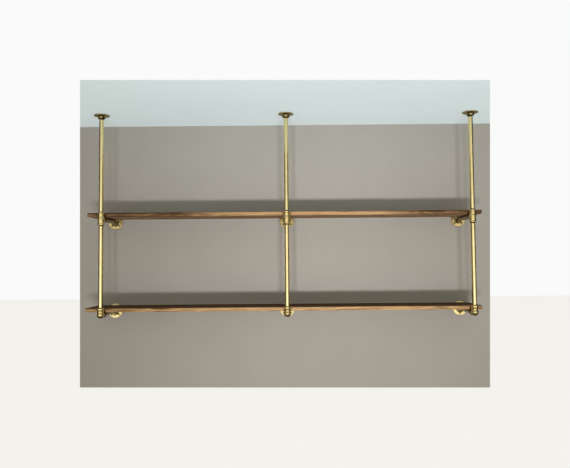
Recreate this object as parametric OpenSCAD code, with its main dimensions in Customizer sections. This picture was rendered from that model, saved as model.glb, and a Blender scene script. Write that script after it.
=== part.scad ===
// Wall shelf on threaded pipe brackets. Each of the three brackets is screwed to the
// ceiling and to the wall, and two boards rest on the arms, notched round the fittings.
// Origin: middle of the lower centre wall flange, on the wall. +X runs along the wall,
// the room is towards -Y, and +Z is up.

/* [Layout] */
// Distance between neighbouring brackets, centre to centre
bracket_pitch = 843; // [500:1:1200]
// Distance from the wall to the axis of the risers
arm_reach = 230; // [160:1:350]
// Height from the axis of the lower arms to the axis of the upper arms
tier_gap = 434; // [200:1:650]
// Height from the axis of the upper arms to the ceiling
ceiling_gap = 476; // [150:1:900]

/* [Pipe] */
// Outside diameter of the pipe
pipe_d = 21.3; // [17:0.1:34]
// Wall of the pipe
pipe_wall = 2.6; // [1.8:0.1:3.2]
// Depth of the thread, on the radius
thread_cut = 0.3; // [0.1:0.1:0.6]
// Length of thread screwed into each fitting
thread_grip = 13; // [10:0.5:16]
// Length of thread left showing at the mouth of each fitting
thread_show = 5; // [1:0.5:6]
// Radial play between a thread and the socket round it
thread_play = 0.15; // [0.05:0.05:0.3]

/* [Tees and elbows] */
// Distance from the middle of a fitting to each mouth
fitting_reach = 28.5; // [27:0.5:45]
// Wall of a fitting round its socket
fitting_wall = 4; // [2.5:0.1:6]
// Height of the band round a mouth above the body
band_rise = 1.1; // [0.8:0.1:3]
// Height of the swelling at the middle of a fitting above the body
swell = 1.3; // [0.5:0.1:3]
// Length of the band round a mouth
band_len = 6.5; // [4:0.5:9]
// Chamfer on the outer edge of the bands and hubs
edge_cut = 1; // [0.4:0.1:1.5]

/* [Flanges] */
// Height of a flange from its back face to the mouth of its hub
flange_h = 18; // [17:0.5:26]
// Thickness of the round plate
plate_t = 5; // [3:0.5:8]
// Wall of the hub round its socket
hub_wall = 6; // [4:0.1:9]
// How much wider the hub is at its foot, on the radius
hub_flare = 3.5; // [2:0.5:6]
// From the foot of the hub to the centres of the screw holes
hole_land = 5; // [4:0.5:10]
// From the centres of the screw holes to the rim
rim_land = 10; // [6:0.5:16]
// Diameter of the screw holes
hole_d = 6.5; // [4:0.1:7]
// Number of screw holes
hole_count = 4; // [3:1:6]
// Turn of the screw holes on every flange but one
hole_turn = 45; // [0:5:90]
// Turn of the screw holes on the lower right wall flange, which was screwed tighter
odd_hole_turn = 0; // [0:5:90]

/* [Boards] */
// Thickness of a board
board_t = 18; // [14:1:40]
// How far each board reaches past the outer risers, on average
board_overhang = 57; // [40:1:200]
// Sideways shift of the upper board
upper_shift = -10; // [-20:1:20]
// Sideways shift of the lower board
lower_shift = -18; // [-20:1:20]
// Front edge of a board behind the axis of the risers
board_setback = 10; // [0:1:20]
// Clearance round the fittings where a board passes them
board_play = 2; // [1:0.5:5]
// Gap between a loose board and the arms under it
rest_gap = 0.3; // [0.1:0.1:1]
// Radius in the inner corners of a notch
notch_corner = 4; // [2:0.5:8]

/* [Hidden] */
SIDES = ["left", "centre", "right"];
METAL = [
    "ceiling_flange", "upper_riser", "tee", "lower_riser", "elbow",
    "upper_arm", "lower_arm", "upper_wall_flange", "lower_wall_flange"
];

$fn = 64;
cut = 1;                                       // overshoot of every cut past a face
brass = "#C9A663";
walnut = "#8A5F3C";

pipe_r = pipe_d / 2;
water_r = pipe_r - pipe_wall;                  // waterway through pipes and fittings
thread_r = pipe_r - thread_cut;
thread_len = thread_grip + thread_show;
socket_r = thread_r + thread_play;
body_r = socket_r + fitting_wall;
band_r = body_r + band_rise;
seat = fitting_reach - thread_grip;            // from a fitting's middle to a pipe's end
flange_seat = flange_h - thread_grip;          // from a flange's back to a pipe's end

hub_r = socket_r + hub_wall;
foot_r = hub_r + hub_flare;
hole_circle_r = foot_r + hole_land;
plate_r = hole_circle_r + rim_land;

ceiling_z = tier_gap + ceiling_gap;
board_len = 2 * (bracket_pitch + board_overhang);
board_front = -(arm_reach - board_setback);
board_back = -(flange_h + board_play);
notch_half = band_r + board_play;
notch_floor = -(arm_reach - fitting_reach) + board_play;

function bracket_x(side) = bracket_pitch * (search([side], SIDES)[0] - 1);

// ---- shapes shared by the fittings, each along +Z from the middle ----

// One leg, from the middle of a fitting to its banded mouth
module leg() {
    cylinder(r = body_r, h = fitting_reach);
    translate([0, 0, fitting_reach - band_len])
        rotate_extrude() polygon([
            [0, 0], [body_r, 0], [band_r, band_rise / 2],
            [band_r, band_len - edge_cut], [band_r - edge_cut, band_len], [0, band_len]
        ]);
}

// The waterway and the threaded socket of one leg
module leg_bore() {
    cylinder(r = water_r, h = fitting_reach);
    translate([0, 0, seat]) cylinder(r = socket_r, h = thread_grip + cut);
}

// Turns a leg from up to towards the wall
module to_wall() {
    rotate([-90, 0, 0]) children();
}

// A cast fitting with a leg up, a leg to the wall, and a leg down on a tee
module fitting(has_leg_down) {
    color(brass) difference() {
        union() {
            leg();
            to_wall() leg();
            if (has_leg_down) mirror([0, 0, 1]) leg();
            sphere(r = body_r + swell);
        }
        leg_bore();
        to_wall() leg_bore();
        if (has_leg_down) mirror([0, 0, 1]) leg_bore();
        sphere(r = water_r);
    }
}

// A tube with a threaded stretch at both ends, standing on z = 0
module pipe(length) {
    color(brass) difference() {
        union() {
            cylinder(r = thread_r, h = length);
            translate([0, 0, thread_len]) cylinder(r = pipe_r, h = length - 2 * thread_len);
        }
        translate([0, 0, -cut]) cylinder(r = water_r, h = length + 2 * cut);
    }
}

// A round floor flange, back face on z = 0 and hub along +Z
module flange(turn) {
    color(brass) difference() {
        rotate_extrude() polygon([
            [0, 0], [plate_r, 0], [plate_r, plate_t - edge_cut], [plate_r - edge_cut, plate_t],
            [foot_r, plate_t], [hub_r, plate_t + hub_flare],
            [hub_r, flange_h - edge_cut], [hub_r - edge_cut, flange_h], [0, flange_h]
        ]);
        translate([0, 0, -cut]) cylinder(r = water_r, h = flange_h);
        translate([0, 0, flange_seat]) cylinder(r = socket_r, h = thread_grip + cut);
        for (i = [0 : hole_count - 1])
            rotate([0, 0, turn + i * 360 / hole_count])
                translate([hole_circle_r, 0, -cut]) cylinder(d = hole_d, h = plate_t + 2 * cut);
    }
}

// ---- pieces of one bracket ----

module ceiling_flange(side) {
    translate([bracket_x(side), -arm_reach, ceiling_z]) rotate([180, 0, 0]) flange(hole_turn);
}

module upper_riser(side) {
    translate([bracket_x(side), -arm_reach, tier_gap + seat])
        pipe(ceiling_gap - seat - flange_seat);
}

module tee(side) {
    translate([bracket_x(side), -arm_reach, tier_gap]) fitting(true);
}

module lower_riser(side) {
    translate([bracket_x(side), -arm_reach, seat]) pipe(tier_gap - 2 * seat);
}

module elbow(side) {
    translate([bracket_x(side), -arm_reach, 0]) fitting(false);
}

module arm(side, z) {
    translate([bracket_x(side), -arm_reach + seat, z]) to_wall()
        pipe(arm_reach - seat - flange_seat);
}

module wall_flange(side, z, turn) {
    translate([bracket_x(side), 0, z]) rotate([90, 0, 0]) flange(turn);
}

// ---- boards ----

// Plan of the cut that lets a board pass a riser and its fitting, from the front edge back
module notch() {
    depth = notch_floor - board_front;
    translate([-notch_half, -cut]) square([2 * notch_half, depth - notch_corner + cut]);
    translate([-notch_half + notch_corner, -cut])
        square([2 * (notch_half - notch_corner), depth + cut]);
    for (x = [-1, 1])
        translate([x * (notch_half - notch_corner), depth - notch_corner])
            circle(r = notch_corner);
}

module board(z, shift) {
    translate([0, 0, z + pipe_r + rest_gap]) color(walnut) linear_extrude(board_t)
        difference() {
            translate([shift - board_len / 2, board_front])
                square([board_len, board_back - board_front]);
            for (side = SIDES) translate([bracket_x(side), board_front]) notch();
        }
}

for (side = SIDES) {
    ceiling_flange(side);
    upper_riser(side);
    tee(side);
    lower_riser(side);
    elbow(side);
    arm(side, tier_gap);
    arm(side, 0);
    wall_flange(side, tier_gap, hole_turn);
    wall_flange(side, 0, side == "right" ? odd_hole_turn : hole_turn);
}
board(tier_gap, upper_shift);  // upper_board
board(0, lower_shift);  // lower_board
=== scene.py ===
import math

import bpy
import numpy as np
from mathutils import Matrix, Vector


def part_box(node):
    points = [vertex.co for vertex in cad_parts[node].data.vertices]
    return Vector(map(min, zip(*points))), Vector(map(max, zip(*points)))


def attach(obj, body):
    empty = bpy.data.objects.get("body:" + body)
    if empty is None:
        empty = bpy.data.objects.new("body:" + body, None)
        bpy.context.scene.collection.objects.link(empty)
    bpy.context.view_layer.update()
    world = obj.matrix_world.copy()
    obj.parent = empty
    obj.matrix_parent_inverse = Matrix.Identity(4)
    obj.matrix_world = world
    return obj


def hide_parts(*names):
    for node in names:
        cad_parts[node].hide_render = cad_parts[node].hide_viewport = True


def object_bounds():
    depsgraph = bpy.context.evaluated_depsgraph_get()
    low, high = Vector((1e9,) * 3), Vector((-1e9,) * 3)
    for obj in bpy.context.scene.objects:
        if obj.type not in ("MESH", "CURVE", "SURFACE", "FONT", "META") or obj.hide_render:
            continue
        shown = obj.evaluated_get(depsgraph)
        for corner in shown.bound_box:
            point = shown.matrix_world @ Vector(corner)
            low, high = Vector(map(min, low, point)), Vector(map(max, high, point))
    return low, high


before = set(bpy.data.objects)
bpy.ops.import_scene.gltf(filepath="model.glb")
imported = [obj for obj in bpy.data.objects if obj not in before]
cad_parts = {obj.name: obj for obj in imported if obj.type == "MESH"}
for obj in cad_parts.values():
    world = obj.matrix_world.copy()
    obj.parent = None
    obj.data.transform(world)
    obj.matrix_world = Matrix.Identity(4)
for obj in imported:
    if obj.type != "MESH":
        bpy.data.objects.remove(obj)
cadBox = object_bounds()
print("frame loaded:", len(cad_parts), "nodes")

mm = 0.001
sides = ["left", "centre", "right"]
scene = bpy.context.scene


# Small helpers

def toLinear(hexColour):
    # "#RRGGBB" in sRGB to the linear colour that shaders and lights take
    parts = [int(hexColour[i:i + 2], 16) / 255 for i in (1, 3, 5)]
    linear = [p / 12.92 if p <= 0.04045 else ((p + 0.055) / 1.055) ** 2.4 for p in parts]
    return (*linear, 1.0)


def addNode(tree, kind, inputs=None, **settings):
    # one node with its settings; an input is a number, a colour, or a socket to link from
    node = tree.nodes.new(kind)
    for key, value in settings.items():
        setattr(node, key, value)
    for key, value in (inputs or {}).items():
        if isinstance(value, bpy.types.NodeSocket):
            tree.links.new(value, node.inputs[key])
        else:
            node.inputs[key].default_value = value
    return node


def newObject(name, data):
    piece = bpy.data.objects.new(name, data)
    scene.collection.objects.link(piece)
    return piece


def meshFrom(name, points, faces):
    mesh = bpy.data.meshes.new(name)
    mesh.from_pydata([tuple(p) for p in points], [], [tuple(int(i) for i in f) for f in faces])
    mesh.validate()
    return mesh


def smoothShade(mesh, sharpAngle=40):
    mesh.shade_smooth()
    mesh.set_sharp_from_angle(angle=math.radians(sharpAngle))


def storePoints(mesh, name, values, kind="FLOAT"):
    # writes one value for each vertex, for a material to read
    layer = mesh.attributes.new(name, kind, "POINT")
    layer.data.foreach_set("value" if kind == "FLOAT" else "vector",
                           np.asarray(values, dtype=np.float32).ravel())


def measure(node):
    # lowest and highest corner of a CAD node, in metres
    low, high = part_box(node)
    return Vector(low), Vector(high)


def middleOf(node):
    low, high = measure(node)
    return (low + high) / 2


def pointsOf(mesh):
    # where the vertices are, one row for each
    flat = np.empty(len(mesh.vertices) * 3, dtype=np.float32)
    mesh.vertices.foreach_get("co", flat)
    return flat.reshape(-1, 3).astype(np.float64)


def outwardFaces(mesh):
    # turns a closed mesh the right way out, by the sign of its volume
    points = pointsOf(mesh)
    mesh.calc_loop_triangles()
    corners = np.empty(len(mesh.loop_triangles) * 3, dtype=np.int32)
    mesh.loop_triangles.foreach_get("vertices", corners)
    a, b, c = (points[corners.reshape(-1, 3)[:, i]] for i in range(3))
    if np.einsum("ij,ij->i", a, np.cross(b, c)).sum() < 0:
        mesh.flip_normals()


# Camera

cameraFit = {
    "lens": 37.02, "sensor": 36,         # mm
    "clipEnd": 60,                       # metres
    "place": (0.0006, -2.8851, 0.2357),  # metres, just above half height
    "turn": -0.187,                      # degrees round the vertical
    "tilt": 2.655,                       # degrees up
    "roll": 0.471,
}
cameraData = bpy.data.cameras.new("camera")
cameraData.lens = cameraFit["lens"]
cameraData.sensor_width = cameraFit["sensor"]
cameraData.clip_end = cameraFit["clipEnd"]
camera = newObject("camera", cameraData)
camera.matrix_world = (
    Matrix.Translation(cameraFit["place"])
    @ Matrix.Rotation(-math.radians(cameraFit["turn"]), 4, "Z")
    @ Matrix.Rotation(math.radians(90 + cameraFit["tilt"]), 4, "X")
    @ Matrix.Rotation(-math.radians(cameraFit["roll"]), 4, "Z")
)
scene.camera = camera
print("camera placed")


# Materials
# On a colour Mix node, inputs 6 and 7 are the two colours and output 2 is the blend.

def newMaterial(name):
    # an empty material and its node tree
    material = bpy.data.materials.new(name)
    material.use_nodes = True
    material.node_tree.nodes.clear()
    return material, material.node_tree


def satinBrassPipe(name, clean, darkenedTone):
    # Steel pipe plated in brass, brushed along its length and lacquered: a soft gold sheen with
    # a bright stripe down the middle, fine streaks, and dark thread roots.
    look = {
        "root": "#3A2D14", "thread": "#8A7440",
        "roughness": 0.27, "roughnessSpread": 0.06,
        "streakWidth": 0.9,      # mm, drawn three times as coarse as the real brushing
        "streakHeight": 0.002,   # mm
        "tarnishSize": 45.0,     # mm
    }
    material, tree = newMaterial(name)
    place = addNode(tree, "ShaderNodeAttribute", attribute_name="along").outputs["Vector"]
    brushed = addNode(tree, "ShaderNodeMapping", {"Vector": place, "Scale": (1, 1, 0.02)})
    streak = addNode(tree, "ShaderNodeTexNoise", {
        "Vector": brushed.outputs[0], "Scale": 1000 / look["streakWidth"],
        "Detail": 2.0, "Roughness": 0.6}).outputs["Fac"]
    tarnish = addNode(tree, "ShaderNodeTexNoise", {
        "Vector": place, "Scale": 1000 / look["tarnishSize"], "Detail": 4.0, "Roughness": 0.55})
    dulled = addNode(tree, "ShaderNodeMapRange", {
        "Value": tarnish.outputs["Fac"], "From Min": 0.38, "From Max": 0.72, "To Max": 0.75})
    plated = addNode(tree, "ShaderNodeMix", {
        0: dulled.outputs[0], 6: toLinear(clean), 7: toLinear(darkenedTone)}, data_type="RGBA")
    groove = addNode(tree, "ShaderNodeAttribute", attribute_name="groove").outputs["Fac"]
    # the whole cut stretch has lost its plating, and its roots hold dirt
    threadMask = addNode(tree, "ShaderNodeMapRange", {"Value": groove, "From Max": 0.12})
    threaded = addNode(tree, "ShaderNodeMix", {
        0: threadMask.outputs[0], 6: plated.outputs[2], 7: toLinear(look["thread"]),
    }, data_type="RGBA")
    rooted = addNode(tree, "ShaderNodeMix", {
        0: groove, 6: threaded.outputs[2], 7: toLinear(look["root"])}, data_type="RGBA")
    rough = addNode(tree, "ShaderNodeMapRange", {
        "Value": streak, "From Min": 0.25, "From Max": 0.75,
        "To Min": look["roughness"] - look["roughnessSpread"] / 2,
        "To Max": look["roughness"] + look["roughnessSpread"] / 2})
    bump = addNode(tree, "ShaderNodeBump", {
        "Height": streak, "Strength": 0.6, "Distance": look["streakHeight"] * mm})
    shader = addNode(tree, "ShaderNodeBsdfPrincipled", {
        "Base Color": rooted.outputs[2], "Roughness": rough.outputs[0],
        "Normal": bump.outputs[0], "Metallic": 1.0})
    addNode(tree, "ShaderNodeOutputMaterial", {"Surface": shader.outputs[0]})
    return material


def satinCastBrass(name, clean, dull):
    # Malleable iron fittings, sand cast, tumbled, then plated like the pipe: a fine cast grain,
    # bright where edges have been handled, with painted shade in the corners and on the leg to the
    # wall.
    look = {
        # the corner and rear colours are painted shade, in the corners and on the leg that runs to
        # the wall
        "corner": "#5A431B", "worn": "#F1E3B0", "rearShade": "#5F5232",
        "roughness": 0.38, "roughnessSpread": 0.10,
        "grain": 1.4,            # mm, about twice the real sand grain
        "grainHeight": 0.012,    # mm
        "patch": 22.0,           # mm
    }
    material, tree = newMaterial(name)
    place = addNode(tree, "ShaderNodeTexCoord").outputs["Object"]
    grain = addNode(tree, "ShaderNodeTexNoise", {
        "Vector": place, "Scale": 1000 / look["grain"], "Detail": 3.0, "Roughness": 0.6})
    patch = addNode(tree, "ShaderNodeTexNoise", {
        "Vector": place, "Scale": 1000 / look["patch"], "Detail": 4.0, "Roughness": 0.6,
    }).outputs["Fac"]
    dulled = addNode(tree, "ShaderNodeMapRange", {
        "Value": patch, "From Min": 0.4, "From Max": 0.7, "To Max": 0.6})
    plated = addNode(tree, "ShaderNodeMix", {
        0: dulled.outputs[0], 6: toLinear(clean), 7: toLinear(dull)}, data_type="RGBA")
    bend = addNode(tree, "ShaderNodeAttribute", attribute_name="bend").outputs["Fac"]
    # painted shade: darker brown where the surface bends inward, in the corners
    cornerShadeMask = addNode(tree, "ShaderNodeMapRange", {
        "Value": bend, "From Min": -0.06, "From Max": -0.40, "To Max": 0.6})
    cornerShaded = addNode(tree, "ShaderNodeMix", {
        0: cornerShadeMask.outputs[0], 6: plated.outputs[2], 7: toLinear(look["corner"]),
    }, data_type="RGBA")
    onEdge = addNode(tree, "ShaderNodeMapRange", {
        "Value": bend, "From Min": 0.25, "From Max": 0.9, "To Max": 0.7})
    worn = addNode(tree, "ShaderNodeMix", {
        0: onEdge.outputs[0], 6: cornerShaded.outputs[2], 7: toLinear(look["worn"])}, data_type="RGBA")
    # painted shade: the leg that runs to the wall is darkened
    rearShade = addNode(tree, "ShaderNodeAttribute", attribute_name="rearShade")
    darkenedTone = addNode(tree, "ShaderNodeMix", {
        0: rearShade.outputs["Fac"], 6: worn.outputs[2], 7: toLinear(look["rearShade"])}, data_type="RGBA")
    rough = addNode(tree, "ShaderNodeMapRange", {
        "Value": patch, "From Min": 0.35, "From Max": 0.7,
        "To Min": look["roughness"] - look["roughnessSpread"] / 2,
        "To Max": look["roughness"] + look["roughnessSpread"] / 2})
    bump = addNode(tree, "ShaderNodeBump", {
        "Height": grain.outputs["Fac"], "Strength": 0.7, "Distance": look["grainHeight"] * mm})
    shader = addNode(tree, "ShaderNodeBsdfPrincipled", {
        "Base Color": darkenedTone.outputs[2], "Roughness": rough.outputs[0],
        "Normal": bump.outputs[0], "Metallic": 1.0})
    addNode(tree, "ShaderNodeOutputMaterial", {"Surface": shader.outputs[0]})
    return material


def sawnWalnut():
    # Saw cuts across the grain in the notches, left rough; the oiled end grain is dark, and darker
    # still as painted shade inside the notches.
    look = {"light": "#3A2818", "dark": "#20160D", "kerf": 1.6}   # kerf: mm between saw marks
    material, tree = newMaterial("sawnWalnutEndGrainShaded")
    place = addNode(tree, "ShaderNodeTexCoord")
    marks = addNode(tree, "ShaderNodeTexNoise", {
        "Vector": place.outputs["Object"], "Scale": 1000 / look["kerf"]}).outputs["Fac"]
    tone = addNode(tree, "ShaderNodeMix", {
        0: marks, 6: toLinear(look["dark"]), 7: toLinear(look["light"])}, data_type="RGBA")
    bump = addNode(tree, "ShaderNodeBump", {
        "Height": marks, "Strength": 0.8, "Distance": 0.2 * mm})
    shader = addNode(tree, "ShaderNodeBsdfPrincipled", {
        "Base Color": tone.outputs[2], "Normal": bump.outputs[0], "Roughness": 0.85, "IOR": 1.5,
        "Specular IOR Level": 0.1})
    addNode(tree, "ShaderNodeOutputMaterial", {"Surface": shader.outputs[0]})
    return material


def oiledWalnut(name, edgeLight, edgeDark):
    # Walnut plank, hewn along its front edge and oiled: long brown streaks, darker growth rings
    # and a few knots, coloured darker on top, with the front edge left pale.
    look = {
        "light": "#A88A6A", "mid": "#8A6C50", "dark": "#4E3828", "topAndKnotTone": "#46301A",
        "ringWidth": 9.0,        # mm between growth rings
        "streakLength": 130.0,   # mm along the grain
        "streakWidth": 16.0,     # mm
        "poreLength": 22.0,      # mm
        "poreWidth": 1.1,        # mm, twice the real pores
        "poreHeight": 0.10,      # mm
        "edgeDepth": 5.0,        # mm behind the front edge that stays pale
        "edgeFade": 2.5,         # mm
        "darkTopBelow": 0.8,       # mm below the top that the darker top colour reaches at the least
        "darkTopRun": 6.0,         # mm that it runs further down in places
    }
    material, tree = newMaterial(name)
    place = addNode(tree, "ShaderNodeAttribute", attribute_name="plank").outputs["Vector"]
    axes = addNode(tree, "ShaderNodeSeparateXYZ", {"Vector": place})
    # long streaks, stretched along the grain
    longPlace = addNode(tree, "ShaderNodeMapping", {
        "Vector": place, "Scale": (1000 / look["streakLength"], 1000 / look["streakWidth"],
                                   1000 / look["streakWidth"])})
    streak = addNode(tree, "ShaderNodeTexNoise", {
        "Vector": longPlace.outputs[0], "Scale": 1.0, "Detail": 6.0, "Roughness": 0.62,
        "Distortion": 0.6}).outputs["Fac"]
    # growth rings, cut lengthways
    ringPlace = addNode(tree, "ShaderNodeMapping", {"Vector": place, "Scale": (0.05, 1.0, 2.2)})
    rings = addNode(tree, "ShaderNodeTexWave", {
        "Vector": ringPlace.outputs[0], "Scale": 1000 / look["ringWidth"] / 20 * math.pi,
        "Distortion": 7.0, "Detail": 3.0, "Detail Scale": 1.6, "Detail Roughness": 0.6,
    }, wave_type="BANDS", bands_direction="Y", wave_profile="SAW")
    porePlace = addNode(tree, "ShaderNodeMapping", {
        "Vector": place, "Scale": (1000 / look["poreLength"], 1000 / look["poreWidth"],
                                   1000 / look["poreWidth"])})
    pores = addNode(tree, "ShaderNodeTexNoise", {
        "Vector": porePlace.outputs[0], "Scale": 1.0, "Detail": 3.0, "Roughness": 0.7})
    # a knot about every 300 mm
    knotPlace = addNode(tree, "ShaderNodeMapping", {"Vector": place, "Scale": (3.3, 7.0, 7.0)})
    knots = addNode(tree, "ShaderNodeTexVoronoi", {"Vector": knotPlace.outputs[0], "Scale": 1.0})
    knotMask = addNode(tree, "ShaderNodeMapRange", {
        "Value": knots.outputs["Distance"], "From Min": 0.05, "From Max": 0.20,
        "To Min": 0.75, "To Max": 0.0})
    tone = addNode(tree, "ShaderNodeMath", {0: rings.outputs["Fac"], 1: 0.22, 2: streak},
                   operation="MULTIPLY_ADD").outputs[0]
    wood = addNode(tree, "ShaderNodeValToRGB", {"Fac": tone})
    stops = wood.color_ramp.elements
    stops[0].position, stops[0].color = 0.36, toLinear(look["dark"])
    stops[1].position, stops[1].color = 0.82, toLinear(look["light"])
    stops.new(0.58).color = toLinear(look["mid"])
    # the front edge, paler where sapwood was left on it
    sapwood = addNode(tree, "ShaderNodeAttribute", attribute_name="sapwood")
    edgeTone = addNode(tree, "ShaderNodeMath", {0: tone, 1: 1.3, 2: sapwood.outputs["Fac"]},
                       operation="MULTIPLY_ADD")
    edge = addNode(tree, "ShaderNodeMapRange", {
        "Value": edgeTone.outputs[0], "From Min": 0.42, "From Max": 0.98})
    edgeWood = addNode(tree, "ShaderNodeMix", {
        0: edge.outputs[0], 6: toLinear(edgeDark), 7: toLinear(edgeLight)}, data_type="RGBA")
    edgeMask = addNode(tree, "ShaderNodeMapRange", {
        "Value": axes.outputs["Y"], "From Min": look["edgeDepth"] * mm,
        "From Max": (look["edgeDepth"] + look["edgeFade"]) * mm, "To Min": 1.0, "To Max": 0.0})
    edged = addNode(tree, "ShaderNodeMix", {
        0: edgeMask.outputs[0], 6: wood.outputs["Color"], 7: edgeWood.outputs[2],
    }, data_type="RGBA")
    # the top is coloured darker, and that colour runs a little way over the edge, unevenly
    darkTopHeight = addNode(tree, "ShaderNodeMath", {
        0: streak, 1: look["darkTopRun"] * mm, 2: axes.outputs["Z"]}, operation="MULTIPLY_ADD")
    darkTopMask = addNode(tree, "ShaderNodeMapRange", {
        "Value": darkTopHeight.outputs[0],
        "From Min": (boardThickness - look["darkTopBelow"]) * mm,
        "From Max": (boardThickness + look["darkTopRun"] * 0.4) * mm, "To Max": 0.85})
    withDarkTop = addNode(tree, "ShaderNodeMix", {
        0: darkTopMask.outputs[0], 6: edged.outputs[2], 7: toLinear(look["topAndKnotTone"]),
    }, data_type="RGBA")
    knotted = addNode(tree, "ShaderNodeMix", {
        0: knotMask.outputs[0], 6: withDarkTop.outputs[2], 7: toLinear(look["topAndKnotTone"]),
    }, data_type="RGBA")
    rough = addNode(tree, "ShaderNodeMapRange", {
        "Value": streak, "From Min": 0.3, "From Max": 0.7, "To Min": 0.82, "To Max": 0.70})
    bump = addNode(tree, "ShaderNodeBump", {
        "Height": pores.outputs["Fac"], "Strength": 0.8, "Distance": look["poreHeight"] * mm})
    shader = addNode(tree, "ShaderNodeBsdfPrincipled", {
        "Base Color": knotted.outputs[2], "Roughness": rough.outputs[0],
        "Normal": bump.outputs[0], "IOR": 1.5, "Specular IOR Level": 0.05})
    addNode(tree, "ShaderNodeOutputMaterial", {"Surface": shader.outputs[0]})
    return material


boardThickness = 18.0        # mm, as measured on the boards of the frame
riserBrass = satinBrassPipe("satinBrassPlatedPipe", "#EEDFA8", "#DDCB90")
shadedArmBrass = satinBrassPipe("shadedBrassPlatedArmPipe", "#8E8158", "#766A45")   # darker copy of the riser plating: painted shade under the boards
fittingBrass = satinCastBrass("satinPlatedSandCastFitting", "#EDD99A", "#D3BE80")
# All flanges share one plating; these copies are painted light and shade: darker for the upper
# wall flanges and the ceiling flanges, lighter for the lower wall flanges.
shadedUpperFlangeBrass = satinCastBrass("shadedUpperPlatedSandCastFlange", "#C8B781", "#B3A06B")
litLowerFlangeBrass = satinCastBrass("litPlatedSandCastFlange", "#E9D99F", "#D6C384")
shadedCeilingFlangeBrass = satinCastBrass("shadedCeilingPlatedSandCastFlange", "#BAA873", "#A08F5E")
upperWalnut = oiledWalnut("oiledWalnutUpperBoard", "#B9946B", "#4A3320")
lowerWalnut = oiledWalnut("oiledWalnutLowerBoard", "#CBA779", "#6C4B2A")
sawnEnd = sawnWalnut()
print("materials made")


# Pipes, by one rule: a tube with a helical thread cut at both ends

pipeSizes = {                # mm, by the names of the tree's inputs
    "Radius": 10.65, "Bore Radius": 8.05,
    "Thread Radius": 10.35, "Thread Depth": 0.9, "Thread Pitch": 1.814, "Thread Length": 18.0,
    "Thread Runout": 1.8,    # over which the thread dies out
    "End Chamfer": 0.6,
}
pipeCounts = {"Around": 48, "Rings": 210}
threadShare = 0.49           # share of the rings that each thread takes


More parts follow.
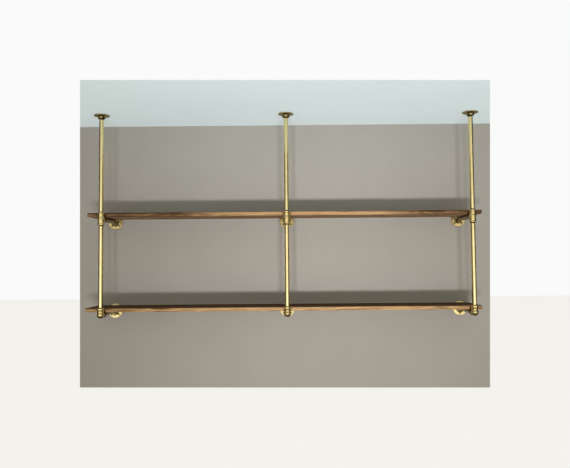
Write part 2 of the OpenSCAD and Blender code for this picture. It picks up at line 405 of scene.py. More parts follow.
def pipeTree():
    # a sheet of points, rolled into a tube with a helical thread cut at both ends
    tree = bpy.data.node_groups.new("threadedPipe", "GeometryNodeTree")
    face = tree.interface
    for name in ("Length", *pipeSizes):
        face.new_socket(name, in_out="INPUT", socket_type="NodeSocketFloat")
    for name in pipeCounts:
        face.new_socket(name, in_out="INPUT", socket_type="NodeSocketInt")
    face.new_socket("Pipe Material", in_out="INPUT", socket_type="NodeSocketMaterial")
    face.new_socket("Geometry", in_out="OUTPUT", socket_type="NodeSocketGeometry")
    given = addNode(tree, "NodeGroupInput").outputs
    position = addNode(tree, "GeometryNodeInputPosition").outputs[0]
    spot = addNode(tree, "ShaderNodeSeparateXYZ", {0: position}).outputs
    known = {name: given[name] for name in ("Length", *pipeSizes, *pipeCounts)}
    known.update(x=spot["X"], y=spot["Y"])
    # each step has its result's name, what is done, and names of earlier results or numbers
    steps = [
        ("columns", "ADD", "Around", 1),
        ("rows", "ADD", "Rings", 3),
        # X goes round the pipe; Y goes up the outside and back down the bore
        ("turn", "ADD", "x", 0.5),
        ("up", "ADD", "y", 0.5),
        ("lastRow", "ADD", "Rings", 2),
        ("row", "MULTIPLY", "up", "lastRow"),
        ("lastRing", "SUBTRACT", "Rings", 1),
        ("climbed", "DIVIDE", "row", "lastRing"),
        ("climb", "MINIMUM", "climbed", 1),
        ("fineLength", "ADD", "Thread Length", "Thread Runout"),
        ("plainLength", "MULTIPLY_ADD", "fineLength", -2, "Length"),
        # each thread takes nearly half of the rings, and the plain middle the few that are left
        ("foot", "LINEAR", "climb", 0, threadShare, 0, "fineLength"),
        ("middle", "LINEAR", "climb", threadShare, 1 - threadShare, 0, "plainLength"),
        ("head", "LINEAR", "climb", 1 - threadShare, 1, 0, "fineLength"),
        ("lowerPart", "ADD", "foot", "middle"),
        ("rise", "ADD", "lowerPart", "head"),
        ("topRow", "ADD", "Rings", 0.5),
        ("onTheWayUp", "LESS_THAN", "row", "topRow"),
        ("height", "MULTIPLY", "rise", "onTheWayUp"),
        ("firstBoreRow", "SUBTRACT", "Rings", 0.5),
        ("lastBoreRow", "ADD", "Rings", 1.5),
        ("pastTop", "GREATER_THAN", "row", "firstBoreRow"),
        ("beforeEnd", "LESS_THAN", "row", "lastBoreRow"),
        ("inBore", "MULTIPLY", "pastTop", "beforeEnd"),
        ("toTop", "SUBTRACT", "Length", "height"),
        ("fromEnd", "MINIMUM", "height", "toTop"),
        ("runoutStart", "SUBTRACT", "Thread Length", "Thread Runout"),
        ("threaded", "SMOOTHSTEP", "fromEnd", "runoutStart", "Thread Length", 1, 0),
        ("lip", "LINEAR", "fromEnd", 0, "End Chamfer", "End Chamfer", 0),
        # how deep the helical groove is here
        ("coils", "DIVIDE", "height", "Thread Pitch"),
        ("helix", "ADD", "coils", "turn"),
        ("wave", "PINGPONG", "helix", 0.5),
        ("groove", "MULTIPLY", "wave", 2),
        ("cut", "MULTIPLY", "groove", "Thread Depth"),
        ("threadWall", "SUBTRACT", "Thread Radius", "cut"),
        ("fullDrop", "SUBTRACT", "Radius", "threadWall"),
        ("drop", "MULTIPLY", "fullDrop", "threaded"),
        ("dropped", "SUBTRACT", "Radius", "drop"),
        ("outside", "SUBTRACT", "dropped", "lip"),
        ("toBore", "SUBTRACT", "Bore Radius", "outside"),
        ("radius", "MULTIPLY_ADD", "toBore", "inBore", "outside"),
        ("angle", "MULTIPLY", "turn", 2 * math.pi),
        ("cosine", "COSINE", "angle"),
        ("sine", "SINE", "angle"),
        ("placeX", "MULTIPLY", "radius", "cosine"),
        ("placeY", "MULTIPLY", "radius", "sine"),
        ("outer", "SUBTRACT", 1, "inBore"),
        ("marked", "MULTIPLY", "groove", "threaded"),
        ("grooveMark", "MULTIPLY", "marked", "outer"),
    ]
    rampInputs = ("Value", "From Min", "From Max", "To Min", "To Max")
    for name, deed, *terms in steps:
        values = [known[term] if isinstance(term, str) else term for term in terms]
        if deed in ("LINEAR", "SMOOTHSTEP"):
            node = addNode(tree, "ShaderNodeMapRange", dict(zip(rampInputs, values)),
                           interpolation_type=deed)
        else:
            node = addNode(tree, "ShaderNodeMath", dict(enumerate(values)), operation=deed)
        known[name] = node.outputs[0]
    sheet = addNode(tree, "GeometryNodeMeshGrid", {
        "Vertices X": known["columns"], "Vertices Y": known["rows"], "Size X": 1.0, "Size Y": 1.0})
    place = addNode(tree, "ShaderNodeCombineXYZ", {
        "X": known["placeX"], "Y": known["placeY"], "Z": known["height"]})
    marked = addNode(tree, "GeometryNodeStoreNamedAttribute", {
        "Geometry": sheet.outputs["Mesh"], "Value": known["grooveMark"], "Name": "groove",
    }, data_type="FLOAT", domain="POINT")
    rolled = addNode(tree, "GeometryNodeSetPosition", {
        "Geometry": marked.outputs[0], "Position": place.outputs[0]})
    closed = addNode(tree, "GeometryNodeMergeByDistance", {
        "Geometry": rolled.outputs[0], "Distance": 0.005 * mm})
    kept = addNode(tree, "GeometryNodeStoreNamedAttribute", {
        "Geometry": closed.outputs[0], "Value": position, "Name": "along",
    }, data_type="FLOAT_VECTOR", domain="POINT")
    real = addNode(tree, "GeometryNodeRealizeInstances", {"Geometry": kept.outputs[0]})
    done = addNode(tree, "GeometryNodeSetMaterial", {
        "Geometry": real.outputs[0], "Material": given["Pipe Material"]})
    addNode(tree, "NodeGroupOutput", {"Geometry": done.outputs[0]})
    return tree


threadTree = pipeTree()


def makePipe(name, node, length, place, material):
    holder = newObject(name + "Maker", bpy.data.meshes.new(name + "Maker"))
    modifier = holder.modifiers.new("pipe", "NODES")
    modifier.node_group = threadTree
    wanted = {"Length": length, "Pipe Material": material, **pipeCounts}
    wanted.update({key: size * mm for key, size in pipeSizes.items()})
    for item in threadTree.interface.items_tree:
        if item.in_out == "INPUT":
            modifier[item.identifier] = wanted[item.name]
    graph = bpy.context.evaluated_depsgraph_get()
    mesh = bpy.data.meshes.new_from_object(holder.evaluated_get(graph))
    mesh.name = name
    bpy.data.objects.remove(holder)
    mesh.transform(place)
    outwardFaces(mesh)
    smoothShade(mesh)
    piece = newObject(name, mesh)
    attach(piece, "frame")
    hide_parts(node)


for side in sides:
    for kind in ("upper_riser", "lower_riser", "upper_arm", "lower_arm"):
        node = side + "_" + kind
        low, high = measure(node)
        middle = middleOf(node)
        if kind.endswith("riser"):
            length = high.z - low.z
            place = Matrix.Translation((middle.x, middle.y, low.z))
            material = riserBrass
        else:
            length = high.y - low.y
            place = (Matrix.Translation((middle.x, low.y, middle.z))
                     @ Matrix.Rotation(math.radians(-90), 4, "X"))
            material = shadedArmBrass
        makePipe(side + kind.title().replace("_", ""), node, length, place, material)
print("pipes made")


# Castings: shapes given by their distance to the surface, in mm

castSizes = {
    "step": 0.75,            # mm between the points of the mesh
    "bodyRadius": 14.5, "bandRadius": 15.6, "bandLength": 6.5, "reach": 28.5,
    "belly": 15.8,           # radius of the swelling in the middle
    "elbowBelly": 16.9,      # the elbows are rounder
    "legFillet": 4.0, "bandFillet": 2.0, "elbowBandFillet": 8.0, "bellyFillet": 2.0,
    "edgeRound": 0.7,
    "boreEdge": 0.4,         # rounding where a bore or a screw hole breaks the surface
    "rearShadeStart": 5.0, "rearShadeFade": 9.0,   # where the painted shade on the leg towards the wall sets in
    "waterRadius": 8.05, "socketRadius": 10.5, "seat": 15.5,
    "mouthChamfer": 0.8, "mouthDepth": 3.0,
    "sunk": 1.0, "overlap": 0.01,        # how far legs and bores start past the middle
}
flangeSizes = {
    "height": 18.0, "plateRadius": 35.0, "plate": 5.0, "crown": 0.7,
    "hubRadius": 16.5, "hubFillet": 7.0, "edgeRound": 1.1, "backEdge": 0.5, "seat": 5.0,
    "sunk": 6.0,             # how far the turned shape runs on before its back is cut flat
    "holes": 4, "holeCircle": 25.0, "holeRadius": 3.25, "holeChamfer": 0.6, "flareDepth": 2.0,
    "shadeDiscGap": 0.2,         # that the dark disc behind each screw hole, painted shade, is smaller, on the radius
}
cos45 = 0.7071


def holeTurn(node):
    # degrees that the screw holes are turned; one flange was screwed on tighter
    return 0 if node == "right_lower_wall_flange" else 45


def softMin(a, b, blend):
    # joins two shapes with a fillet
    h = np.maximum(blend - np.abs(a - b), 0) / blend
    return np.minimum(a, b) - h * h * blend / 4


def softMax(a, b, blend):
    return -softMin(-a, -b, blend)


def drum(radial, axial, radius, low, high, edge):
    # distance to a round-edged cylinder from low to high
    half = (high - low) / 2
    out = np.stack([radial - (radius - edge), np.abs(axial - (low + high) / 2) - (half - edge)])
    return np.minimum(out.max(0), 0) + np.sqrt((np.maximum(out, 0) ** 2).sum(0)) - edge


def legField(radial, axial, bandFillet):
    size = castSizes
    body = drum(radial, axial, size["bodyRadius"], -size["sunk"], size["reach"],
                size["edgeRound"])
    band = drum(radial, axial, size["bandRadius"], size["reach"] - size["bandLength"],
                size["reach"], size["edgeRound"])
    return softMin(body, band, bandFillet)


def boreField(radial, axial):
    # the waterway, the threaded socket and the chamfer at its mouth
    size = castSizes
    water = np.maximum(radial - size["waterRadius"], -axial - size["overlap"])
    socket = np.maximum(radial - size["socketRadius"], size["seat"] - axial)
    past = axial - size["reach"] + size["mouthChamfer"]
    cone = (radial - size["socketRadius"] - past) * cos45
    mouth = np.maximum(cone, size["reach"] - size["mouthDepth"] - axial)
    return np.minimum(np.minimum(water, socket), mouth)


def fittingField(hasLegDown):
    # axis and direction of each leg: up, to the wall, and down on a tee
    legs = [(2, 1), (1, 1)] + ([(2, -1)] if hasLegDown else [])
    bandFillet = castSizes["bandFillet" if hasLegDown else "elbowBandFillet"]
    belly = castSizes["belly" if hasLegDown else "elbowBelly"]

    def field(p):
        solid, hole = None, None
        for axis, sign in legs:
            axial = p[:, axis] * sign
            radial = np.sqrt(np.maximum((p ** 2).sum(1) - axial ** 2, 0))
            leg, bore = legField(radial, axial, bandFillet), boreField(radial, axial)
            solid = leg if solid is None else softMin(solid, leg, castSizes["legFillet"])
            hole = bore if hole is None else np.minimum(hole, bore)
        middle = np.sqrt((p ** 2).sum(1))
        solid = softMin(solid, middle - belly, castSizes["bellyFillet"])
        hole = np.minimum(hole, middle - castSizes["waterRadius"])
        return softMax(solid, -hole, castSizes["boreEdge"])

    return field


def flangeField(turn):
    size, cast = flangeSizes, castSizes

    def field(p):
        radial = np.sqrt(p[:, 0] ** 2 + p[:, 1] ** 2)
        height = p[:, 2]
        crowned = height + size["crown"] * (radial / size["plateRadius"]) ** 2
        plate = drum(radial, crowned, size["plateRadius"], -size["sunk"], size["plate"],
                     size["edgeRound"])
        hub = drum(radial, height, size["hubRadius"], -size["sunk"], size["height"],
                   size["edgeRound"])
        solid = softMin(plate, hub, size["hubFillet"])
        solid = softMax(solid, -height, size["backEdge"])
        hole = radial - cast["waterRadius"]
        socket = np.maximum(radial - cast["socketRadius"], size["seat"] - height)
        past = height - size["height"] + cast["mouthChamfer"]
        cone = (radial - cast["socketRadius"] - past) * cos45
        mouth = np.maximum(cone, size["height"] - cast["mouthDepth"] - height)
        hole = np.minimum(np.minimum(hole, socket), mouth)
        for i in range(size["holes"]):
            angle = math.radians(turn + 360 / size["holes"] * i)
            across = np.hypot(p[:, 0] - size["holeCircle"] * math.cos(angle),
                              p[:, 1] - size["holeCircle"] * math.sin(angle))
            past = crowned - size["plate"] + size["holeChamfer"]
            flare = (across - size["holeRadius"] - past) * cos45
            countersunk = np.maximum(flare, size["plate"] - size["flareDepth"] - crowned)
            hole = np.minimum(hole, np.minimum(across - size["holeRadius"], countersunk))
        return softMax(solid, -hole, cast["boreEdge"])

    return field


def skinOf(field, low, high, step):
    # a quad mesh on the zero surface of a distance field, each point then moved exactly onto it
    counts = [int(math.ceil((h - l) / step)) + 1 for l, h in zip(low, high)]
    axes = [l + step * np.arange(n) for l, n in zip(low, counts)]
    grid = np.stack(np.meshgrid(*axes, indexing="ij"), -1).reshape(-1, 3)
    value = field(grid).reshape(counts)
    inside = value < 0
    corners = [(i, j, k) for i in (0, 1) for j in (0, 1) for k in (0, 1)]

    def corner(a, c):
        return a[tuple(slice(c[d], a.shape[d] - 1 + c[d]) for d in range(3))]

    filled = sum(corner(inside, c).astype(np.int8) for c in corners)
    mixed = (filled > 0) & (filled < 8)
    index = -np.ones(mixed.shape, dtype=np.int64)
    index[mixed] = np.arange(mixed.sum())
    where = np.argwhere(mixed)
    total, hits = np.zeros((len(where), 3)), np.zeros(len(where))
    for c in corners:
        for d in range(3):
            if c[d]:
                continue
            e = tuple(1 if i == d else c[i] for i in range(3))
            va, vb = corner(value, c)[mixed], corner(value, e)[mixed]
            crossing = (va < 0) != (vb < 0)
            t = np.where(crossing, va / np.where(crossing, va - vb, 1), 0)
            spot = np.array(c, dtype=float) + np.eye(3)[d] * t[:, None]
            total += spot * crossing[:, None]
            hits += crossing
    points = np.array(low) + (where + total / hits[:, None]) * step
    faces = []
    for d in range(3):
        a = inside[tuple(slice(0, -1) if i == d else slice(1, -1) for i in range(3))]
        b = inside[tuple(slice(1, None) if i == d else slice(1, -1) for i in range(3))]
        u, v = (d + 1) % 3, (d + 2) % 3
        for crossed, flipped in ((a & ~b, False), (~a & b, True)):
            cells = np.argwhere(crossed)
            for i in (u, v):
                cells[:, i] += 1
            ring = []
            for du, dv in ((-1, -1), (0, -1), (0, 0), (-1, 0)):
                near = cells.copy()
                near[:, u] += du
                near[:, v] += dv
                ring.append(index[tuple(near.T)])
            faces.append(np.stack(ring[::-1] if flipped else ring, 1))
    faces = np.concatenate(faces)
    reachOut, rounds = 0.01, 3
    leastSlope, stride = 0.2, 0.5       # no point leaps where the field is nearly flat
    for _ in range(rounds):
        here = field(points)
        slope = np.stack([(field(points + np.eye(3)[d] * reachOut)
                           - field(points - np.eye(3)[d] * reachOut)) / (2 * reachOut)
                          for d in range(3)], 1)
        move = slope * (here / np.maximum((slope ** 2).sum(1), leastSlope))[:, None]
        size = np.sqrt((move ** 2).sum(1))
        points -= move * np.minimum(1, stride * step / np.maximum(size, 1e-9))[:, None]
    return points, faces


def bendOf(field, points, reachOut=1.0):
    # above zero on edges that stick out, below zero in corners
    around = sum(field(points + sign * np.eye(3)[d] * reachOut)
                 for d in range(3) for sign in (1, -1))
    return (around - 6 * field(points)) / 2


def castMesh(name, field, low, high, material):
    points, faces = skinOf(field, low, high, castSizes["step"])
    mesh = meshFrom(name, points * mm, faces)
    storePoints(mesh, "bend", bendOf(field, points))
    if material == fittingBrass:
        # painted shade on the leg towards the wall, for the fittings only
        storePoints(mesh, "rearShade", np.clip((points[:, 1] - castSizes["rearShadeStart"])
                                          / castSizes["rearShadeFade"], 0, 1))
    outwardFaces(mesh)
    smoothShade(mesh, sharpAngle=50)
    mesh.materials.append(material)
    print("  cast shape", name, len(faces), "faces")
    return mesh


def castPiece(name, node, pattern, place, turnOver, material):
    # one casting from its pattern, turned about X by some degrees and put in its place
    mesh = pattern.copy()
    mesh.name = name
    mesh.materials[0] = material
    mesh.transform(Matrix.Translation(place) @ Matrix.Rotation(math.radians(turnOver), 4, "X"))
    piece = newObject(name, mesh)
    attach(piece, "frame")
    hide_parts(node)


spare, spareAlong = 1.5, 1.6     # mm left free round a shape while it is meshed
wide = castSizes["bandRadius"] + spare
ballWide = wide + 1          # the elbow's ball is wider than its bands
far = castSizes["reach"] + spare
rim = flangeSizes["plateRadius"] + spare
teePattern = castMesh("teePattern", fittingField(True), (-wide, -ballWide, -far),
                      (wide, far, far), fittingBrass)
elbowPattern = castMesh("elbowPattern", fittingField(False), (-wide, -ballWide, -ballWide),
                        (wide, far, far), fittingBrass)
flangePatterns = {
    turn: castMesh("flangePattern" + str(turn), flangeField(turn), (-rim, -rim, -spareAlong),
                   (rim, rim, flangeSizes["height"] + spareAlong), shadedUpperFlangeBrass)
    for turn in (45, 0)
}
for side in sides:
    axis = middleOf(side + "_lower_riser")
    upperZ, lowerZ = (middleOf(side + arm).z for arm in ("_upper_arm", "_lower_arm"))
    ceilingNode = side + "_ceiling_flange"
    castPiece(side + "Tee", side + "_tee", teePattern, (axis.x, axis.y, upperZ), 0, fittingBrass)
    castPiece(side + "Elbow", side + "_elbow", elbowPattern, (axis.x, axis.y, lowerZ), 0,
              fittingBrass)
    castPiece(side + "CeilingFlange", ceilingNode, flangePatterns[holeTurn(ceilingNode)],
              (axis.x, axis.y, measure(ceilingNode)[1].z), 180, shadedCeilingFlangeBrass)
    for tier, z, brass in (("upper", upperZ, shadedUpperFlangeBrass), ("lower", lowerZ, litLowerFlangeBrass)):
        node = side + "_" + tier + "_wall_flange"
        castPiece(side + tier.title() + "WallFlange", node, flangePatterns[holeTurn(node)],
                  (axis.x, measure(node)[1].y, z), 90, brass)
for pattern in (teePattern, elbowPattern, *flangePatterns.values()):
    bpy.data.meshes.remove(pattern)
print("castings made")


# Boards

boardSizes = {               # mm
    "easedEdge": 1.6,        # radius along the long edges
    "endEase": 0.7,          # share of that radius taken off at the ends
    "hewnDepth": 3.0,        # that the front edge wanders back
    "hewnLength": 70.0, "hewnLengthBelow": 56.0,    # from one tool mark to the next
    "bulge": 1.2, "bulgeLength": 33.0,              # swellings between the tool marks
    "faceBack": 0.6,         # that the front face lies behind the arrises
    "cup": 0.35, "cupLength": 190.0,                # how unevenly the top is planed
    "stationStep": 5.0, "endStation": 6.0,          # along the board
    "notchHalf": 17.6, "notchDepth": 20.5, "notchCorner": 4.0, "notchOvercut": 5.0,
    "treeStep": 370.0,       # along the tree, for each step of the seed
}


def wander(x, length, seed):
    # a smooth random line through x, between 0 and 1
    random = np.random.RandomState(seed)
    knots = random.rand(int((x.max() - x.min()) / length) + 4)
    t = (x - x.min()) / length
    i = np.floor(t).astype(int)
    f = t - i
    f = f * f * (3 - 2 * f)
    return knots[i] * (1 - f) + knots[i + 1] * f


sapwoodAlong = {             # how much sapwood the front edge has, from the left end to the right
    "upperBoard": [-0.22, -0.38, -0.38, -0.08, 0.06, 0.12, 0.14, 0.12, -0.08, -0.45, -0.38],
    "lowerBoard": [-0.12, -0.26, -0.10, 0.08, 0.08, 0.02, 0.06, 0.06, 0.06, 0.02, -0.04],
}


def boardRing(depth, thick, lowBack, topBack, bulge, dip):
    # the section of a board from the front at the bottom, up, back, down and forward
    e = boardSizes["easedEdge"]
    rising = np.radians(np.linspace(10, 80, 4))
    falling = rising[::-1]
    ring = [(lowBack + e - e * math.cos(a), e - e * math.sin(a)) for a in falling]
    for t in np.linspace(0.2, 0.8, 4):
        swell = math.sin(math.pi * t) * bulge
        hewn = lowBack * (1 - t) + topBack * t - swell + boardSizes["faceBack"]
        ring.append((max(0.0, hewn), thick * t))
    ring += [(topBack + e - e * math.cos(a), thick - e + e * math.sin(a) - dip * math.sin(a))
             for a in rising]
    ring += [(depth * t, thick - dip * math.sin(math.pi * min(1, t * 1.5)) ** 2)
             for t in np.linspace(0.03, 0.97, 16)]
    ring += [(depth - e + e * math.sin(a), thick - e + e * math.cos(a)) for a in rising]
    ring += [(depth - e + e * math.sin(a), e - e * math.cos(a)) for a in falling]
    ring += [(depth * t, 0.0) for t in np.linspace(0.97, 0.03, 16)]
    return np.array(ring)


def makeBoard(name, node, material, seed):
    size = boardSizes
    low, high = (np.array(v) / mm for v in measure(node))
    length, depth, thick = high - low
    e, end = size["easedEdge"], size["endStation"]
    count = int(length / size["stationStep"])
    xs = np.concatenate([[0, e / 4, e], np.linspace(end, length - end, count),
                         [length - e, length - e / 4, length]])
    topBack = size["hewnDepth"] * wander(xs, size["hewnLength"], seed) ** 1.5
    lowBack = size["hewnDepth"] * wander(xs, size["hewnLengthBelow"], seed + 1) ** 1.5
    bulge = size["bulge"] * wander(xs, size["bulgeLength"], seed + 2)
    dip = size["cup"] * wander(xs, size["cupLength"], seed + 3)
    easing = {0: e, 1: e * 0.45}               # how far the first two rings of an end draw in
    rings = []
    for i, x in enumerate(xs):
        ring = boardRing(depth, thick, lowBack[i], topBack[i], bulge[i], dip[i])
        inset = easing.get(min(i, len(xs) - 1 - i), 0) * size["endEase"]
        ring = ring - np.sign(ring - np.array([depth / 2, thick / 2])) * inset
        rings.append(np.column_stack([np.full(len(ring), x), ring]))
    n, last = len(rings[0]), len(rings) - 1
    faces = [(i * n + j, i * n + (j + 1) % n, (i + 1) * n + (j + 1) % n, (i + 1) * n + j)
             for i in range(last) for j in range(n)]
    faces += [tuple(range(n))[::-1], tuple(last * n + j for j in range(n))]
    mesh = meshFrom(name, (np.concatenate(rings) + low) * mm, faces)
    mesh.materials.append(material)
    outwardFaces(mesh)
    piece = newObject(name, mesh)
    cutNotches(piece, low, high)
    mesh = piece.data
    spots = pointsOf(mesh)
    plank = spots - np.array([0, low[1], low[2]]) * mm
    plank[:, 0] += seed * size["treeStep"] * mm
    storePoints(mesh, "plank", plank, "FLOAT_VECTOR")
    stops = sapwoodAlong[name]
    storePoints(mesh, "sapwood", np.interp((spots[:, 0] / mm - low[0]) / length,
                                           np.linspace(0, 1, len(stops)), stops))
    smoothShade(mesh, sharpAngle=35)
    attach(piece, node)
    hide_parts(node)


def cutNotches(piece, low, high):
    # saws the three notches that let the risers pass
    size = boardSizes
    half, deep, r = size["notchHalf"], size["notchDepth"], size["notchCorner"]
    past = size["notchOvercut"]
    outline = [(-half, -past), (half, -past)]
    outline += [(half - r + r * math.cos(a), deep - r + r * math.sin(a))
                for a in np.radians(np.linspace(0, 90, 7))]
    outline += [(-half + r + r * math.cos(a), deep - r + r * math.sin(a))
                for a in np.radians(np.linspace(90, 180, 7))]
    points, faces = [], []
    for side in sides:
        x = middleOf(side + "_lower_riser").x / mm
        base = len(points)
        n = len(outline)
        for z in (low[2] - past, high[2] + past):
            points += [((x + px) * mm, (low[1] + py) * mm, z * mm) for px, py in outline]
        faces.append([base + j for j in range(n)][::-1])
        faces.append([base + n + j for j in range(n)])
        faces += [(base + j, base + (j + 1) % n, base + n + (j + 1) % n, base + n + j)
                  for j in range(n)]
    cutter = newObject("notchCutter", meshFrom("notchCutter", points, faces))
    outwardFaces(cutter.data)
    cutter.data.materials.append(sawnEnd)
    saw = piece.modifiers.new("notches", "BOOLEAN")
    saw.object = cutter
    saw.operation = "DIFFERENCE"
    saw.solver = "EXACT"
    saw.material_mode = "TRANSFER"
    graph = bpy.context.evaluated_depsgraph_get()
    cutMesh = bpy.data.meshes.new_from_object(piece.evaluated_get(graph))
    piece.modifiers.remove(saw)
    old = piece.data
    piece.data = cutMesh
    cutMesh.name = piece.name
    bpy.data.meshes.remove(old)
    bpy.data.objects.remove(cutter)


makeBoard("upperBoard", "upper_board", upperWalnut, 11)
makeBoard("lowerBoard", "lower_board", lowerWalnut, 23)
print("boards made")


# Stage: a painted wall and ceiling seen from the room only, and a pale floor

stageLook = {
    # the darkest colour here is painted shade, for the discs behind the flanges' screw holes
    "wall": "#A5A097", "ceiling": "#DEECEF", "floor": "#ECECEC", "holeShade": "#110E0B",
    "ceilingGlow": 0.25, "floorGlow": 0.55,
    "junction": (-1.0246, 1.0136),       # metres, where wall and ceiling meet, left and right
    "wallFoot": ((-1.0144, -0.3713), (0.9819, -0.3861)),
    "ceilingFront": ((-0.759, -0.7512), (0.7698, -0.7055)),
    "floorZ": -1.8, "floorReach": 30,
    "gap": 0.0005,                       # metres between the sheets and the flanges
}


def oneSidedPaint(name, colour, glow=0.0):
    # Rolled wall paint, matt, with the faint orange-peel a roller leaves. Its back can be seen
    # through, so the shelf shows from behind too.
    look = {"peel": 2.9, "peelHeight": 0.2, "patch": 200.0, "mottle": 0.05}   # mm, mottle a share
    material, tree = newMaterial(name)
    place = addNode(tree, "ShaderNodeTexCoord").outputs["Object"]
    peel = addNode(tree, "ShaderNodeTexNoise", {"Vector": place, "Scale": 1000 / look["peel"]})
    patch = addNode(tree, "ShaderNodeTexNoise", {
        "Vector": place, "Scale": 1000 / look["patch"], "Detail": 3.0})
    base = toLinear(colour)
    darker, lighter = (tuple(min(1, c * k) for c in base[:3]) + (1,)
                       for k in (1 - look["mottle"], 1 + look["mottle"]))
    tone = addNode(tree, "ShaderNodeMix", {0: patch.outputs["Fac"], 6: darker, 7: lighter},
                   data_type="RGBA")
    bump = addNode(tree, "ShaderNodeBump", {
        "Height": peel.outputs["Fac"], "Strength": 0.3, "Distance": look["peelHeight"] * mm})
    paint = addNode(tree, "ShaderNodeBsdfPrincipled", {
        "Base Color": tone.outputs[2], "Normal": bump.outputs[0], "Roughness": 0.85,
        "Emission Color": base, "Emission Strength": glow})
    clear = addNode(tree, "ShaderNodeBsdfTransparent")
    which = addNode(tree, "ShaderNodeNewGeometry")
    both = addNode(tree, "ShaderNodeMixShader", {
        0: which.outputs["Backfacing"], 1: paint.outputs[0], 2: clear.outputs[0]})
    addNode(tree, "ShaderNodeOutputMaterial", {"Surface": both.outputs[0]})
    return material


def stageSheet(name, corners, material):
    mesh = meshFrom(name, corners, [(0, 1, 2, 3)])
    mesh.materials.append(material)
    sheet = newObject(name, mesh)
    return sheet


wallBack = stageLook["gap"]
ceilingZ = cadBox[1].z + stageLook["gap"]
left, right = stageLook["junction"]
(footLeft, footLeftZ), (footRight, footRightZ) = stageLook["wallFoot"]
(frontLeft, frontLeftY), (frontRight, frontRightY) = stageLook["ceilingFront"]
floorZ, far = stageLook["floorZ"], stageLook["floorReach"]
stageSheet("wall", [(footLeft, wallBack, footLeftZ), (footRight, wallBack, footRightZ),
                    (right, wallBack, ceilingZ), (left, wallBack, ceilingZ)],
           oneSidedPaint("rolledTaupeWallPaint", stageLook["wall"]))
stageSheet("ceiling", [(left, wallBack, ceilingZ), (right, wallBack, ceilingZ),
                       (frontRight, frontRightY, ceilingZ), (frontLeft, frontLeftY, ceilingZ)],
           oneSidedPaint("rolledWhiteCeilingPaint", stageLook["ceiling"],
                         stageLook["ceilingGlow"]))
floor = stageSheet("floor", [(x * far, y * far, floorZ)
                             for x, y in ((-1, -1), (1, -1), (1, 1), (-1, 1))],
                   oneSidedPaint("paleStudioFloor", stageLook["floor"], stageLook["floorGlow"]))
floor.visible_glossy = False
floor.visible_diffuse = False


def holeShadeDiscs():
    # flat dark discs on the wall and the ceiling behind the flanges' screw holes: painted shade
    # for the inside of the holes
    points, faces = [], []
    ring = [(math.cos(a), math.sin(a)) for a in np.linspace(0, 2 * math.pi, 25)[:-1]]
    r = flangeSizes["holeRadius"] - flangeSizes["shadeDiscGap"]
    for side in sides:
        for kind in ("_upper_wall_flange", "_lower_wall_flange", "_ceiling_flange"):
            node = side + kind
            onCeiling = kind == "_ceiling_flange"
            middle, top = middleOf(node), measure(node)[1].z
            for i in range(flangeSizes["holes"]):
                angle = math.radians(holeTurn(node) + 360 / flangeSizes["holes"] * i)
                u = flangeSizes["holeCircle"] * math.cos(angle)
                v = flangeSizes["holeCircle"] * math.sin(angle)
                around = [((u + r * c) * mm, (v + r * d) * mm) for c, d in ring]
                face = [len(points) + j for j in range(len(ring))]
                faces.append(face[::-1] if onCeiling else face)
                points += [(middle.x + p, middle.y + q, top) if onCeiling
                           else (middle.x + p, 0.0, middle.z + q) for p, q in around]
    mesh = meshFrom("holeShadeDiscs", points, faces)
    mesh.materials.append(oneSidedPaint("paintedHoleShade", stageLook["holeShade"]))
    newObject("holeShadeDiscs", mesh)


holeShadeDiscs()
print("stage made")


# Light: a row of three low lamps on the camera's side, and a pale surround

lampLook = {
    # across the room and width in metres, and power in watts
    "leftLamp": (-0.75, 0.35, 3.5), "middleLamp": (-0.08, 0.35, 3.6),
    "rightLamp": (0.68, 0.45, 4.1),
}
lampRow = {"y": -5.3, "z": -1.35, "height": 0.35, "aim": (0.22, 0, 0.4), "colour": "#F9FAFF",
           "spread": 40}                 # degrees; fades towards the ends of the shelf
for name, (x, width, power) in lampLook.items():
    light = bpy.data.lights.new(name, "AREA")
    light.shape = "RECTANGLE"
    light.size, light.size_y = width, lampRow["height"]
    light.energy = power
    light.spread = math.radians(lampRow["spread"])
    light.color = toLinear(lampRow["colour"])[:3]
    lamp = newObject(name, light)
    lamp.location = (x, lampRow["y"], lampRow["z"])
    lamp.rotation_mode = "QUATERNION"
    lamp.rotation_quaternion = (Vector(lampRow["aim"]) - lamp.location).to_track_quat("-Z", "Y")
    lamp.visible_camera = False
    lamp.visible_glossy = False

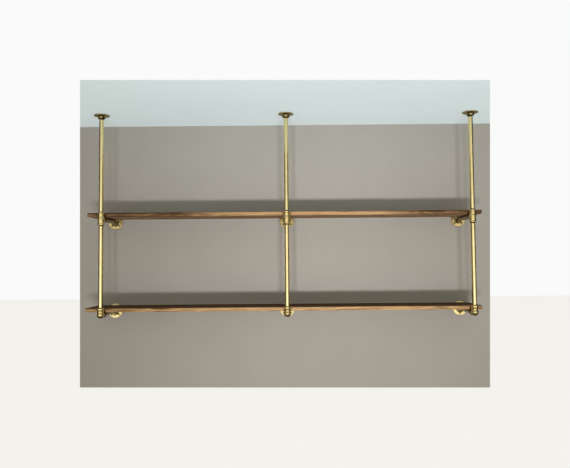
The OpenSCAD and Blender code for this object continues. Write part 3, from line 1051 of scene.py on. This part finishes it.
# The surround is pale to the camera and a soft grey to matt surfaces. Polished metal mirrors
# a room instead: bright straight ahead, dimmer above, dark below and to the sides, grey behind.
roomGlow = {
    # where each part sets in and is full, along the direction's Z or Y, and its glow at both
    "high": (-0.14, 0.27, 2.15, 0.60), "floor": (-0.46, -0.16, 0.12, 1.0),
    "ahead": (-0.35, -1.0, 0.0, 1.0), "behind": (0.35, 0.8, 0.0, 0.25),
    "sides": 0.02, "soft": 0.54,
    "metalColour": "#FFF9F0", "mattColour": "#FFFBEE", "cameraColour": "#F9FAF9",
}
world = bpy.data.worlds.new("studio")
scene.world = world
world.use_nodes = True
sky = world.node_tree
sky.nodes.clear()
direction = addNode(sky, "ShaderNodeTexCoord")
axes = addNode(sky, "ShaderNodeSeparateXYZ", {0: direction.outputs["Generated"]})
part = {}
for name, axis in (("high", "Z"), ("floor", "Z"), ("ahead", "Y"), ("behind", "Y")):
    setsIn, full, firstGlow, lastGlow = roomGlow[name]
    part[name] = addNode(sky, "ShaderNodeMapRange", {
        "Value": axes.outputs[axis], "From Min": setsIn, "From Max": full,
        "To Min": firstGlow, "To Max": lastGlow}, interpolation_type="SMOOTHSTEP").outputs[0]
lit = addNode(sky, "ShaderNodeMath", {0: part["high"], 1: part["floor"]}, operation="MULTIPLY")
mirrored = addNode(sky, "ShaderNodeMath", {
    0: lit.outputs[0], 1: part["ahead"], 2: part["behind"]}, operation="MULTIPLY_ADD")
mirroredAll = addNode(sky, "ShaderNodeMath", {0: mirrored.outputs[0], 1: roomGlow["sides"]},
                      operation="ADD")
rays = addNode(sky, "ShaderNodeLightPath")
toMetal = addNode(sky, "ShaderNodeBackground", {
    "Color": toLinear(roomGlow["metalColour"]), "Strength": mirroredAll.outputs[0]})
toMatt = addNode(sky, "ShaderNodeBackground", {
    "Color": toLinear(roomGlow["mattColour"]), "Strength": roomGlow["soft"]})
toCamera = addNode(sky, "ShaderNodeBackground", {
    "Color": toLinear(roomGlow["cameraColour"]), "Strength": 1.0})
unseen = addNode(sky, "ShaderNodeMixShader", {
    0: rays.outputs["Is Glossy Ray"], 1: toMatt.outputs[0], 2: toMetal.outputs[0]})
surround = addNode(sky, "ShaderNodeMixShader", {
    0: rays.outputs["Is Camera Ray"], 1: unseen.outputs[0], 2: toCamera.outputs[0]})
addNode(sky, "ShaderNodeOutputWorld", {"Surface": surround.outputs[0]})
scene.view_settings.view_transform = "Standard"
print("lights made")
